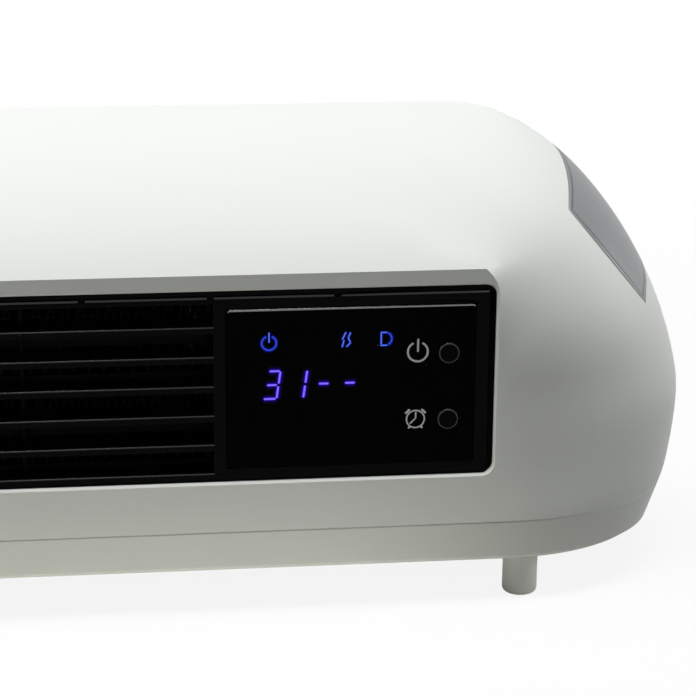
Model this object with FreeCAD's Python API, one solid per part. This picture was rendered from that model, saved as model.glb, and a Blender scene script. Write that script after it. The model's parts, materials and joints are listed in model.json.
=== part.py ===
import FreeCAD, Part
import math
import os
from FreeCAD import Vector

# Free-standing fan heater. Millimetres, +X along the length, +Y to the back, +Z up,
# origin on the floor in the middle of the four feet. The front faces -Y.

# Casing: overall size and outer form
length = 546.0
depth = 130.0
height = 197.0
wall = 2.5
floor_thick = 3.0
parting_z = 38.0
wide_z = 78.0
crown_inset = 95.0
side_power = 1.43
low_radius = 150.0
crease_z = 149.0
apex_setback = 24.0
brow_radius = 85.0
back_round = 44.0
corner_inset = 85.0
crown_corner_inset = 155.0
rear_corner = 35.0
facet_gap = 4.0
facet_round = 6.0
facet_turn = 11.0
facet_drop = 0.65
crown_blend = 60.0
end_share = 0.52
blend_angle = math.radians(65.0)
crown_flat = 0.08
base_taper = 5.0
seam_groove = 0.8
bottom_round = 2.5
lower_slices = 12
upper_slices = 14

# Feet
foot_height = 18.0
foot_diameter = 15.0
foot_round = 2.0
foot_end_inset = 78.0
foot_side_inset = 15.0
spigot_diameter = 8.0

# Fits between pieces
slip = 0.1
gap = 0.3
running = 0.05

# Front opening, outlet grille and its slats
panel_inset = 94.0
panel_bottom = 59.6
panel_top = 142.2
panel_corner = 5.0
rim_bevel = 0.8
flange = 5.0
flange_side = 1.0
flange_top = 1.2
flange_corner = 6.0
plate_thick = 3.0
frame_rise = 1.0
frame_margin = 2.6
frame_foot = 0.8
frame_bevel = 0.6
window_inset = 8.0
lens_bar = 5.6
window_bottom = 63.5
window_top = 136.4
slat_count = 5
slat_thick = 3.0
slat_depth = 15.0
sleeve_wall = 2.0
rib_count = 2
rib_thick = 2.0
rib_depth = 5.0
notch_width = 3.0
notch_pitch = 52.0
notch_inset = 32.0
notch_count = 6

# Display lens, buttons, display board
lens_width = 102.8
lens_inset = 8.6
lens_bottom = 65.7
lens_top = 134.1
lens_thick = 3.0
lens_proud = 0.8
lens_bevel = 0.5
lens_ledge = 3.0
lens_corner = 1.5
button_inset = 11.0
power_button_z = 113.2
timer_button_z = 84.5
button_diameter = 9.0
button_proud = 0.6
button_edge = 0.4
button_travel = 0.8
button_flange = 1.0
button_flange_extra = 1.2
stem_diameter = 4.0
plunger_diameter = 3.4
switch_side = 6.0
switch_height = 3.5
plunger_out = 1.2
board_thick = 1.6
board_setback = 11.0
display_post = 6.0
post_inset = 4.0
digit_inset = 10.4
digit_width = 48.0
digit_bottom = 91.0
digit_top = 111.0

# Rear grille
rear_inset = 19.0
rear_bottom = 60.0
rear_top = 144.0
rear_corner_radius = 6.0
rear_rise = 2.0
rear_slot_columns = 8
rear_slot_rows = 9
rear_slot_height = 4.0
rear_bar = 6.0
rear_border = 8.0

# Screwed joints
screw_diameter = 3.0
head_diameter = 6.0
head_height = 2.0
boss_diameter = 8.0
ear_size = 12.0
ear_thick = 2.5
boss_bite = 4.0
lug_step = 20.0
lug_inset = 12.0
lug_height = 10.0
post_diameter = 9.0
ear_inset = 49.0

# Cord inlet
gland_end_inset = 68.0
gland_z = 28.0
gland_setback = 4.5
gland_bore = 7.0
gland_body = 11.0
gland_flange = 15.0
gland_flange_thick = 2.0
gland_length = 12.0
gland_pad = 4.0
gland_pad_side = 18.0

# Heater
heater_depth = 16.0
heater_rim = 4.0
bar_count = 3
bar_height = 7.0
bar_margin = 2.0
fin_pitch = 6.0
fin_band = 1.6
cutout_diameter = 16.0
cutout_height = 8.0
cutout_inset = 51.0
fuse_diameter = 4.0
fuse_length = 14.0
fuse_inset = 42.0

# Blower
scroll_room = 7.0
axis_z = 104.0
blower_margin = 24.0
blade_depth = 7.0
blade_thick = 0.9
blade_count = 26
blade_lean = 30.0
disc_thick = 1.6
disc_count = 5
wheel_gap = 7.0
hub_radius = 6.0
hub_length = 12.0
end_thick = 2.0
blower_gap = 5.0
end_top = 150.0
scroll_start = 50.0
scroll_end = -90.0
scroll_clear = 3.5
scroll_growth = 8.0
sheet_thick = 1.5
tongue_angle = 125.0
tongue_clear = 3.0
tongue_lip = 6.0

# Motor
shaft_diameter = 4.0
core_gap = 14.0
core_thick = 20.0
core_half_y = 28.0
core_top = 22.0
core_bore = 13.4
rotor_radius = 12.7
window_half = 20.0
core_window_top = 18.0
core_window_bottom = 36.0
core_bottom = 52.0
coil_half_y = 18.0
coil_build = 11.0
bracket_thick = 2.0
bracket_width = 14.0
bracket_flat = 14.0
bush_radius = 4.0
bush_length = 6.0
mount_radius = 10.0
shaft_tail = 5.0
motor_screw_span = 9.0

# Power board
power_length = 145.0
power_end_inset = 48.0
power_front_inset = 27.0
power_back_inset = 31.0
power_z = 46.0
board_post_diameter = 7.0
relay_length = 20.0
relay_width = 15.0
relay_height = 16.0
relay_pitch = 26.0
capacitor_length = 26.0
capacitor_width = 10.0
capacitor_height = 18.0
block_length = 30.0
block_width = 12.0
block_height = 12.0
block_ways = 3
ribbon_inset = 30.0
ribbon_width = 16.0
ribbon_thick = 0.8
header_depth = 5.0
header_height = 6.0

front_y = -depth / 2
back_y = depth / 2
apex_y = back_y - apex_setback
crown_half = length / 2 - crown_inset
corner_start = length / 2 - corner_inset
crown_corner = length / 2 - crown_corner_inset
foot_x = length / 2 - foot_end_inset
foot_y = depth / 2 - foot_side_inset
panel_half = length / 2 - panel_inset
rear_half = panel_half - rear_inset
lens_right = panel_half - lens_inset
lens_left = lens_right - lens_width
window_left = window_inset - panel_half
window_right = lens_left - lens_bar
button_x = lens_right - button_inset
digit_left = lens_left + digit_inset
digit_right = digit_left + digit_width
ear_span = panel_half - ear_inset
lug_x = ear_span + lug_step
lug_y = depth / 2 - lug_inset
gland_x = length / 2 - gland_end_inset
gland_face_y = back_y - gland_setback
cutout_x = window_left + cutout_inset
fuse_x = window_right - fuse_inset
power_right = length / 2 - power_end_inset
power_left = power_right - power_length
power_front = front_y + power_front_inset
power_back = back_y - power_back_inset
ribbon_x = power_left + ribbon_inset
inner_front = front_y + wall
inner_back = back_y - wall
base_floor = foot_height + floor_thick
slope_radius = ((apex_y - front_y) ** 2 + (height - crease_z) ** 2) / (2 * (height - crease_z))
slope_z = height - slope_radius
frame_front = inner_front - frame_rise
plate_back = inner_front + plate_thick
slat_back = front_y + slat_depth
heater_front = slat_back
heater_back = heater_front + heater_depth
end_back = inner_back - plate_thick - ear_thick - blower_gap
wheel_radius = (end_back - heater_back - blower_margin) / 2
axis_y = end_back - wheel_radius - scroll_room
blower_left = window_left - sleeve_wall
blower_right = window_right + sleeve_wall
lens_front = frame_front - lens_proud
lens_back = lens_front + lens_thick
board_front = front_y + board_setback
switch_front = board_front - switch_height
core_right = blower_left - core_gap - bracket_thick
core_left = core_right - core_thick


def block(xs, ys, zs):
    """A box between two limits on each axis."""
    return Part.makeBox(xs[1] - xs[0], ys[1] - ys[0], zs[1] - zs[0], Vector(xs[0], ys[0], zs[0]))


def rod_x(y, z, radius, x0, x1):
    return Part.makeCylinder(radius, x1 - x0, Vector(x0, y, z), Vector(1, 0, 0))


def rod_y(x, z, radius, y0, y1):
    return Part.makeCylinder(radius, y1 - y0, Vector(x, y0, z), Vector(0, 1, 0))


def rod_z(x, y, radius, z0, z1):
    return Part.makeCylinder(radius, z1 - z0, Vector(x, y, z0), Vector(0, 0, 1))


def rounded_plate(xs, ys, zs, radius):
    """A box whose four edges along Y are rounded."""
    plate = block(xs, ys, zs)
    edges = [e for e in plate.Edges if abs(e.Vertexes[0].Y - e.Vertexes[1].Y) > (ys[1] - ys[0]) / 2]
    return plate.makeFillet(radius, edges)


def plate_rim(xs, y, zs, radius):
    """Closed outline of a rounded plate at one depth."""
    plate = rounded_plate(xs, (y, y + radius), zs, radius)
    front = min(plate.Faces, key=lambda face: face.CenterOfMass.y)
    return front.OuterWire


def bevel_front(solid, size):
    """Bevel every edge that lies in the face of a plate nearest the front."""
    face_y = solid.BoundBox.YMin
    tiny = size / 100
    edges = [e for e in solid.Edges if e.BoundBox.YMax < face_y + tiny]
    return solid.makeChamfer(size, edges)


def extrude_x(points, x0, x1):
    """A prism along X from outline points given as (y, z)."""
    loop = [Vector(x0, y, z) for y, z in points]
    wire = Part.makePolygon(loop + loop[:1])
    return Part.Face(wire).extrude(Vector(x1 - x0, 0, 0))


def bezier(*points):
    curve = Part.BezierCurve()
    curve.setPoles([Vector(*p) for p in points])
    return curve.toShape()


# Casing form
def half_length(z, inset):
    """Half the length of the casing at one level."""
    widest = length / 2 - inset
    if z < wide_z:
        return widest - low_radius + math.sqrt(low_radius ** 2 - (wide_z - z) ** 2)
    rise = (z - wide_z) / (height - inset - wide_z)
    return crown_half + (widest - crown_half) * math.sqrt(max(1 - rise ** side_power, 0))


def creased_front(z, inset):
    """Front of the casing along its middle: upright, then a sharp crease to the sloping top."""
    upright = front_y + inset
    up = z - slope_z
    if up <= 0:
        return upright
    return max(upright, apex_y - math.sqrt(max((slope_radius - inset) ** 2 - up * up, 0)))


def rounded_front(z, inset):
    """Front of the casing towards its ends, where the crease fades into a round brow."""
    brow_y = front_y + brow_radius
    reach = slope_radius - brow_radius
    brow_z = slope_z + math.sqrt(reach ** 2 - (apex_y - brow_y) ** 2)
    meet_z = slope_z + (slope_radius - inset) * (brow_z - slope_z) / reach
    if z <= brow_z:
        return front_y + inset
    if z < meet_z:
        return brow_y - math.sqrt((brow_radius - inset) ** 2 - (z - brow_z) ** 2)
    return creased_front(z, inset)


def casing_back(z, inset):
    spring = height - back_round
    if z <= spring:
        return back_y - inset
    rise = (z - spring) / (back_round - inset)
    return apex_y + (back_y - inset - apex_y) * math.sqrt(max(1 - rise * rise, 0))


def crease_level(inset):
    return slope_z + math.sqrt((slope_radius - inset) ** 2 - (apex_y - front_y - inset) ** 2)


def facet_blend(z):
    """Width over which the flat front bends towards the end; it widens round the facet's corner."""
    if z > crease_z:
        share = (z - crease_z) / (height - crease_z)
        return facet_gap + facet_round + crown_blend * math.sin(math.pi / 2 * share)
    turn = max(z - crease_z + facet_turn, 0) / facet_turn
    return facet_gap + facet_round * turn ** 2


def ellipse_arc(centre, radii, start, end):
    """Poles of part of an ellipse; its angle is nought at the front and grows towards the end."""
    reach = 4 / 3 * math.tan((end - start) / 4)
    poles = []
    for angle, side in ((start, reach), (end, -reach)):
        point = (centre[0] + radii[0] * math.sin(angle), centre[1] - radii[1] * math.cos(angle))
        lean = (radii[0] * math.cos(angle), radii[1] * math.sin(angle))
        poles.append([point, (point[0] + side * lean[0], point[1] + side * lean[1])])
    return [poles[0][0], poles[0][1], poles[1][1], poles[1][0]]


def bend(start, knee, end):
    """Poles of a curve that leaves one point and reaches another along lines through the knee."""
    poles = []
    for side in (start, end):
        poles.append(tuple(point + (corner - point) * 2 / 3 for point, corner in zip(side, knee)))
    return [start, poles[0], poles[1], end]


def casing_outline(z, inset, place_z, taper=0.0):
    """Closed plan outline of the casing at level z, drawn at level place_z."""
    sharp = creased_front(z, inset) + taper
    soft = rounded_front(z, inset) + taper
    rear = casing_back(z, inset) - taper
    end_x = half_length(z, inset)
    end_y = soft + end_share * (rear - soft)
    start_x = corner_start
    if z > crease_z:
        share = (z - crease_z) / (height - crease_z)
        start_x = corner_start - (corner_start - crown_corner) * share ** 2
    knee_x = start_x - facet_gap
    knee_y = sharp + facet_drop * (soft - sharp)
    facet_x = knee_x - facet_blend(z)
    rear_x = end_x - rear_corner
    across = end_x - start_x
    along = end_y - soft
    # The line from the knee touches the ellipse of the end at this angle
    rise = 1 + (soft - knee_y) / along
    run = facet_gap / across
    touch = math.acos(1 / math.hypot(rise, run)) - math.atan2(run, rise)
    first = ellipse_arc((start_x, end_y), (across, along), touch, math.pi / 2 - blend_angle)
    second = ellipse_arc((start_x, end_y), (across, along), math.pi / 2 - blend_angle, math.pi / 2)
    quarter = 4 / 3 * math.tan(math.pi / 8)
    right = [
        bend((facet_x, sharp), (knee_x, knee_y), first[0]), first, second,
        [(end_x, end_y), (end_x, end_y + quarter * (rear - end_y)),
         (rear_x + quarter * rear_corner, rear), (rear_x, rear)],
    ]
    left = [[(-x, y) for x, y in reversed(curve)] for curve in reversed(right)]
    front = [[(-facet_x, sharp), (facet_x, sharp)]]
    back = [[(rear_x, rear), (-rear_x, rear)]]
    edges = [bezier(*[(x, y, place_z) for x, y in curve]) for curve in front + right + back + left]
    return Part.Wire(edges)


def casing_body(inset, bottom_z):
    """Solid dome of the casing above the parting line, made of two lofts that share the crease."""
    crease = crease_level(inset)
    top = height - inset - crown_flat
    lower = []
    if bottom_z < parting_z:
        lower.append(casing_outline(parting_z, inset, bottom_z))
    for i in range(lower_slices):
        z = parting_z + (crease - parting_z) * math.sin(math.pi / 2 * i / (lower_slices - 1))
        lower.append(casing_outline(z, inset, z))
    upper = []
    for i in range(upper_slices):
        z = crease + (top - crease) * (1 - math.cos(math.pi * i / (upper_slices - 1))) / 2
        upper.append(casing_outline(z, inset, z))
    return Part.makeLoft(lower, True).fuse(Part.makeLoft(upper, True))


def front_ears():
    """Ear centres above and below the front opening, in X and Z."""
    return [(x, panel_bottom - flange - ear_size / 2) for x in (-ear_span, 0.0, ear_span)]


def rear_ears():
    return [(x, rear_bottom - flange - ear_size / 2) for x in (-ear_span, 0.0, ear_span)]


def make_top_cover():
    cover = casing_body(0.0, parting_z).cut(casing_body(wall, parting_z - wall))
    opening = rounded_plate((-panel_half, panel_half), (front_y - wall, inner_front + wall),
                            (panel_bottom, panel_top), panel_corner)
    rear = rounded_plate((-rear_half, rear_half), (inner_back - wall, back_y + wall),
                         (rear_bottom, rear_top), rear_corner_radius)
    rim = Part.makeLoft([
        plate_rim((-panel_half - reach, panel_half + reach), front_y + rim_bevel - reach,
                  (panel_bottom - reach, panel_top + reach), panel_corner + reach)
        for reach in (0.0, 2 * rim_bevel)], True, True)
    cover = cover.cut(opening).cut(rear).cut(rim)
    bosses = []
    holes = []
    for x, z in front_ears():
        bosses.append(rod_y(x, z, boss_diameter / 2, inner_front - wall / 2, plate_back))
        holes.append(rod_y(x, z, screw_diameter / 2 + slip, plate_back - boss_bite, plate_back))
    for x, z in rear_ears():
        bosses.append(rod_y(x, z, boss_diameter / 2, inner_back - plate_thick, inner_back + wall / 2))
        holes.append(rod_y(x, z, screw_diameter / 2 + slip, inner_back - plate_thick,
                           inner_back - plate_thick + boss_bite))
    for x in (-lug_x, lug_x):
        for y, face in ((-lug_y, inner_front - wall / 2), (lug_y, inner_back + wall / 2)):
            inward = y - math.copysign(post_diameter / 2, y)
            bosses.append(block((x - post_diameter / 2, x + post_diameter / 2),
                                (min(inward, face), max(inward, face)),
                                (parting_z, parting_z + lug_height)))
            holes.append(rod_z(x, y, screw_diameter / 2 + slip, parting_z, parting_z + lug_height - wall))
    return cover.fuse(bosses).cut(Part.makeCompound(holes))


def base_slice(z, inset, taper):
    return casing_outline(z, inset, z, taper)


def make_base_tray():
    low = foot_height
    span = parting_z - foot_height
    rise = low + bottom_round
    taper_at_rise = base_taper * (span - bottom_round) / span
    shell = Part.makeLoft([
        base_slice(low, bottom_round, base_taper),
        base_slice(rise, 0.0, taper_at_rise),
        base_slice(parting_z - seam_groove, 0.0, base_taper * seam_groove / span),
        base_slice(parting_z, seam_groove, 0.0)], True, True)
    hollow = Part.makeLoft([
        base_slice(base_floor, wall + bottom_round, base_taper),
        casing_outline(parting_z, wall, parting_z + wall)], True, True)
    tray = shell.cut(hollow)
    posts = []
    cuts = []
    for x in (-lug_x, lug_x):
        for y in (-lug_y, lug_y):
            posts.append(rod_z(x, y, post_diameter / 2, low + wall, parting_z))
            cuts.append(rod_z(x, y, screw_diameter / 2 + slip, low, parting_z))
            cuts.append(rod_z(x, y, head_diameter / 2 + gap, low, base_floor + head_height))
    for x, y in board_posts():
        posts.append(rod_z(x, y, board_post_diameter / 2, low + wall, power_z))
        cuts.append(rod_z(x, y, screw_diameter / 2 + slip, power_z - boss_bite, power_z))
    for x, y in foot_places():
        cuts.append(rod_z(x, y, spigot_diameter / 2 + slip, low, base_floor))
    pad = block((gland_x - gland_pad_side / 2, gland_x + gland_pad_side / 2),
                (gland_face_y - gland_pad, gland_face_y + wall),
                (base_floor - floor_thick / 2, parting_z - seam_groove))
    cuts.append(rod_y(gland_x, gland_z, gland_flange / 2 + gap, gland_face_y, back_y))
    cuts.append(rod_y(gland_x, gland_z, gland_body / 2 + slip, gland_face_y - gland_length, back_y))
    pad = pad.common(shell)
    return tray.fuse(posts + [pad]).cut(Part.makeCompound(cuts))


def foot_places():
    return [(x, y) for x in (-foot_x, foot_x) for y in (-foot_y, foot_y)]


def board_posts():
    inset = board_post_diameter
    return [(x, y) for x in (power_left + inset, power_right - inset)
            for y in (power_front + inset, power_back - inset)]


def make_foot(x, y):
    peg = rod_z(x, y, foot_diameter / 2, 0.0, foot_height)
    rim = [e for e in peg.Edges if e.BoundBox.ZMax < foot_round]
    return peg.makeFillet(foot_round, rim).fuse(
        rod_z(x, y, spigot_diameter / 2, foot_height - foot_round, base_floor))


def ear_with_hole(x, z, y0, y1, plate_edge):
    """A screwed ear that reaches from the edge of a grille plate down to its boss."""
    ear = block((x - ear_size / 2, x + ear_size / 2), (y0, y1), (z - ear_size / 2, plate_edge))
    return ear.cut(rod_y(x, z, screw_diameter / 2 + slip, y0, y1))


def slat_tops():
    free = (window_top - window_bottom - slat_count * slat_thick) / (slat_count + 1)
    return [window_top - (free + slat_thick) * i - free for i in range(slat_count)]


def make_outlet_grille():
    """Black front frame with fixed slats on the left and the lens pocket on the right."""
    plate = rounded_plate((-panel_half - flange_side, panel_half + flange_side), (inner_front, plate_back),
                          (panel_bottom - flange, panel_top + flange_top), flange_corner)
    frame = block((-panel_half + frame_margin, panel_half - frame_margin), (frame_front, inner_front),
                  (panel_bottom + frame_foot, panel_top - frame_margin))
    notches = []
    for i in range(notch_count):
        x = notch_inset - panel_half + i * notch_pitch
        notches.append(block((x - notch_width / 2, x + notch_width / 2), (frame_front, inner_front),
                             (panel_top - frame_margin - frame_bevel * 2, panel_top)))
    frame = bevel_front(frame, frame_bevel).cut(Part.makeCompound(notches))
    sleeve = block((blower_left, blower_right), (inner_front, slat_back),
                   (window_bottom - sleeve_wall, window_top + sleeve_wall))
    window = block((window_left, window_right), (frame_front, slat_back), (window_bottom, window_top))
    ears = [ear_with_hole(x, z, plate_back, plate_back + ear_thick, panel_bottom) for x, z in front_ears()]
    posts = [rod_y(x, z, display_post / 2, inner_front + wall / 2, board_front) for x, z in display_posts()]
    grille = plate.fuse([frame, sleeve] + ears + posts).cut(window)
    slats = []
    for top in slat_tops():
        slats.append(block((window_left, window_right), (frame_front, slat_back), (top - slat_thick, top)))
    for i in range(rib_count):
        x = window_left + (window_right - window_left) * (i + 1) / (rib_count + 1)
        slats.append(block((x - rib_thick / 2, x + rib_thick / 2), (slat_back - rib_depth, slat_back),
                           (window_bottom, window_top)))
    pocket = rounded_plate((lens_left - gap, lens_right + gap), (frame_front, lens_back),
                           (lens_bottom - gap, lens_top + gap), lens_corner)
    sight = block((lens_left + lens_ledge, lens_right - lens_ledge), (lens_back, plate_back),
                  (lens_bottom + lens_ledge, lens_top - lens_ledge))
    screws = [rod_y(x, z, screw_diameter / 2 + slip, board_front - boss_bite, board_front)
              for x, z in display_posts()]
    return grille.fuse(slats).cut(Part.makeCompound([pocket, sight] + screws))


def display_posts():
    """Posts behind the lens ledge that carry the display board."""
    xs = (lens_left - post_inset / 2, lens_right + post_inset)
    zs = (lens_bottom - post_inset / 2, lens_top + post_inset)
    return [(x + display_post / 2, z) for x in xs[:1] for z in zs] + [(xs[1], z) for z in zs]


def make_display_lens():
    lens = rounded_plate((lens_left, lens_right), (lens_front, lens_back), (lens_bottom, lens_top),
                         lens_corner)
    lens = bevel_front(lens, lens_bevel)
    holes = [rod_y(button_x, z, button_diameter / 2 + gap, lens_front, lens_back)
             for z in (power_button_z, timer_button_z)]
    return lens.cut(Part.makeCompound(holes))


def make_button(z):
    """Round push button; its flange behind the lens stops it from coming out."""
    face = rod_y(button_x, z, button_diameter / 2, lens_front - button_proud, lens_back)
    cap = bevel_front(face, button_edge)
    collar_front = lens_back + slip
    collar = rod_y(button_x, z, button_diameter / 2 + button_flange_extra, collar_front,
                   collar_front + button_flange)
    neck = rod_y(button_x, z, stem_diameter / 2, lens_back, switch_front - plunger_out)
    return cap.fuse([collar, neck, rod_y(button_x, z, button_diameter / 2, lens_back, collar_front)])


def make_plunger(z):
    return rod_y(button_x, z, plunger_diameter / 2, switch_front - plunger_out,
                 switch_front + button_travel)


def make_switch(z):
    body = block((button_x - switch_side / 2, button_x + switch_side / 2), (switch_front, board_front),
                 (z - switch_side / 2, z + switch_side / 2))
    bore_depth = 2 * button_travel + gap
    bore_end = switch_front + bore_depth
    return body.cut(rod_y(button_x, z, plunger_diameter / 2 + running, switch_front, bore_end))


def make_display_board():
    margin = post_inset + display_post
    board = block((blower_right + gap, lens_right + margin), (board_front, board_front + board_thick),
                  (lens_bottom - post_inset, lens_top + margin))
    holes = [rod_y(x, z, screw_diameter / 2 + slip, board_front, board_front + board_thick)
             for x, z in display_posts()]
    return board.cut(Part.makeCompound(holes))


def make_display_module():
    return block((digit_left, digit_right), (lens_back, board_front), (digit_bottom, digit_top))


def make_rear_grille():
    """Slotted intake panel that fills the rear opening from inside."""
    plate = block((-rear_half - flange, rear_half + flange), (inner_back - plate_thick, inner_back),
                  (rear_bottom - flange, rear_top + flange))
    raised = rounded_plate((-rear_half + gap, rear_half - gap), (inner_back, inner_back + rear_rise),
                           (rear_bottom + gap, rear_top - gap), rear_corner_radius)
    ears = [ear_with_hole(x, z, inner_back - plate_thick - ear_thick, inner_back - plate_thick, rear_bottom)
            for x, z in rear_ears()]
    grille = plate.fuse([raised] + ears)
    slots = []
    column = (2 * rear_half - 2 * rear_border + rear_bar) / rear_slot_columns
    row = (rear_top - rear_bottom - 2 * rear_border - rear_slot_height) / (rear_slot_rows - 1)
    for i in range(rear_slot_columns):
        x = -rear_half + rear_border + column * i
        for j in range(rear_slot_rows):
            z = rear_bottom + rear_border + row * j
            slots.append(block((x, x + column - rear_bar),
                               (inner_back - plate_thick, inner_back + rear_rise),
                               (z, z + rear_slot_height)))
    return grille.cut(Part.makeCompound(slots))


def make_cord_gland():
    body_end = gland_face_y - gland_length + gland_flange_thick
    body = rod_y(gland_x, gland_z, gland_body / 2, body_end, gland_face_y)
    rim = rod_y(gland_x, gland_z, gland_flange / 2, gland_face_y, gland_face_y + gland_flange_thick)
    bore = rod_y(gland_x, gland_z, gland_bore / 2, gland_face_y - gland_length, back_y)
    return body.fuse(rim).cut(bore)


# Heater
def heater_window():
    """Inside limits of the heater frame in X and Z."""
    return ((blower_left + heater_rim, blower_right - heater_rim),
            (window_bottom - sleeve_wall + heater_rim, window_top + sleeve_wall - heater_rim))


def make_heater_frame():
    xs, zs = heater_window()
    frame = block((blower_left, blower_right), (heater_front, heater_back),
                  (window_bottom - sleeve_wall, window_top + sleeve_wall))
    return frame.cut(block(xs, (heater_front, heater_back), zs))


def heater_stack():
    """Levels of the heating bars and of the fin packs between them, from the bottom up."""
    xs, zs = heater_window()
    pack = (zs[1] - zs[0] - bar_count * bar_height) / (bar_count + 1)
    bars = []
    packs = []
    for i in range(bar_count + 1):
        low = zs[0] + i * (pack + bar_height)
        packs.append((low, low + pack))
        if i < bar_count:
            bars.append((low + pack, low + pack + bar_height))
    return bars, packs


def make_heating_bar(zs):
    xs, limits = heater_window()
    return block(xs, (heater_front + bar_margin, heater_back - bar_margin), zs)


def make_fin_pack(zs):
    """One corrugated strip of fin, folded up and down between two bars."""
    xs, limits = heater_window()
    folds = int((xs[1] - xs[0]) / (fin_pitch / 2))
    step = (xs[1] - xs[0]) / folds
    rise = zs[1] - zs[0] - fin_band
    fin_front = heater_front + bar_margin
    under = [Vector(xs[0] + i * step, fin_front, zs[0] + rise * (i % 2)) for i in range(folds + 1)]
    over = [p + Vector(0, 0, fin_band) for p in reversed(under)]
    wire = Part.makePolygon(under + over + under[:1])
    return Part.Face(wire).extrude(Vector(0, heater_depth - 2 * bar_margin, 0))


def make_thermal_cutout():
    top = window_top + sleeve_wall
    middle = (heater_front + heater_back) / 2
    return rod_z(cutout_x, middle, cutout_diameter / 2, top, top + cutout_height)


def make_thermal_fuse():
    top = window_top + sleeve_wall
    middle = (heater_front + heater_back) / 2
    body = rod_x(middle, top + fuse_diameter / 2, fuse_diameter / 2, fuse_x, fuse_x + fuse_length)
    clip = block((fuse_x, fuse_x + fuse_length), (middle - fuse_diameter / 2, middle + fuse_diameter / 2),
                 (top, top + fuse_diameter / 2))
    return body.fuse(clip)


# Blower
def polar(angle, radius):
    turn = math.radians(angle)
    return (axis_y + radius * math.cos(turn), axis_z + radius * math.sin(turn))


def make_blower_end(x0, bore_radius):
    """Upright end plate of the blower, standing on the tray floor."""
    plate = block((x0, x0 + end_thick), (heater_back, end_back), (base_floor, end_top))
    return plate.cut(rod_x(axis_y, axis_z, bore_radius, x0, x0 + end_thick))


def scroll_radius(angle):
    share = (scroll_start - angle) / (scroll_start - scroll_end)
    return wheel_radius + scroll_clear + scroll_growth * share


def make_scroll_plate():
    middle = (scroll_start + scroll_end) / 2
    angles = (scroll_start, middle, scroll_end)
    x0 = blower_left + end_thick
    inner = [Vector(x0, *polar(a, scroll_radius(a))) for a in angles]
    outer = [Vector(x0, *polar(a, scroll_radius(a) + sheet_thick)) for a in angles]
    inner_tip = Vector(x0, heater_back, inner[2].z)
    outer_tip = Vector(x0, heater_back, outer[2].z)
    edges = [Part.Arc(*inner).toShape(), Part.makeLine(inner[2], inner_tip),
             Part.makeLine(inner_tip, outer_tip), Part.makeLine(outer_tip, outer[2]),
             Part.Arc(*reversed(outer)).toShape(), Part.makeLine(outer[0], inner[0])]
    return Part.Face(Part.Wire(edges)).extrude(Vector(blower_right - end_thick - x0, 0, 0))


def make_tongue_plate():
    tip = polar(tongue_angle, wheel_radius + tongue_clear)
    outlet_z = window_top + sleeve_wall - heater_rim
    points = [(heater_back, outlet_z), tip, (tip[0], tip[1] + tongue_lip),
              (tip[0] - sheet_thick, tip[1] + tongue_lip), (tip[0] - sheet_thick, tip[1] + sheet_thick),
              (heater_back, outlet_z + sheet_thick)]
    return extrude_x(points, blower_left + end_thick, blower_right - end_thick)


def wheel_limits():
    return blower_left + end_thick + wheel_gap, blower_right - end_thick - wheel_gap


def make_fan_wheel():
    """Cross-flow wheel: a ring of leaning blades carried by discs, with a hub at each end."""
    left, right = wheel_limits()
    pieces = []
    for i in range(disc_count):
        x = left + (right - left - disc_thick) * i / (disc_count - 1)
        disc = rod_x(axis_y, axis_z, wheel_radius, x, x + disc_thick)
        if 0 < i < disc_count - 1:
            disc = disc.cut(rod_x(axis_y, axis_z, wheel_radius - blade_depth, x, x + disc_thick))
        pieces.append(disc)
    pieces.append(rod_x(axis_y, axis_z, hub_radius, left, left + hub_length))
    pieces.append(rod_x(axis_y, axis_z, hub_radius, right - hub_length, right))
    for i in range(blade_count):
        angle = 360.0 * i / blade_count
        root = polar(angle, wheel_radius - blade_depth)
        blade = block((left, right), (0, blade_depth), (-blade_thick / 2, blade_thick / 2))
        blade.rotate(Vector(0, 0, 0), Vector(1, 0, 0), angle + blade_lean)
        blade.translate(Vector(0, *root))
        pieces.append(blade)
    wheel = pieces[0].fuse(pieces[1:])
    wheel = wheel.common(rod_x(axis_y, axis_z, wheel_radius, left, right))
    bores = [rod_x(axis_y, axis_z, shaft_diameter / 2, left, left + hub_length),
             rod_x(axis_y, axis_z, shaft_diameter / 2, right - hub_length, right)]
    return wheel.cut(Part.makeCompound(bores))


# Motor
def outer_bracket_x():
    """Outer face of the bracket on the far side of the motor."""
    return core_left - core_gap - bracket_thick


def make_motor_shaft():
    left, right = wheel_limits()
    return rod_x(axis_y, axis_z, shaft_diameter / 2, outer_bracket_x() - shaft_tail, left + hub_length)


def make_stub_shaft():
    left, right = wheel_limits()
    return rod_x(axis_y, axis_z, shaft_diameter / 2, right - hub_length, blower_right + shaft_tail)


def make_motor_rotor():
    rotor = rod_x(axis_y, axis_z, rotor_radius, core_left, core_right)
    return rotor.cut(rod_x(axis_y, axis_z, shaft_diameter / 2, core_left, core_right))


def make_motor_core():
    core = block((core_left, core_right), (axis_y - core_half_y, axis_y + core_half_y),
                 (axis_z - core_bottom, axis_z + core_top))
    bore = rod_x(axis_y, axis_z, core_bore, core_left, core_right)
    opening = block((core_left, core_right), (axis_y - window_half, axis_y + window_half),
                    (axis_z - core_window_bottom, axis_z - core_window_top))
    holes = [rod_x(y, axis_z, screw_diameter / 2 + slip, core_left, core_right) for y in core_screw_ys()]
    return core.cut(Part.makeCompound([bore, opening] + holes))


def core_screw_ys():
    reach = (core_bore + core_half_y) / 2
    return axis_y - reach, axis_y + reach


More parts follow.
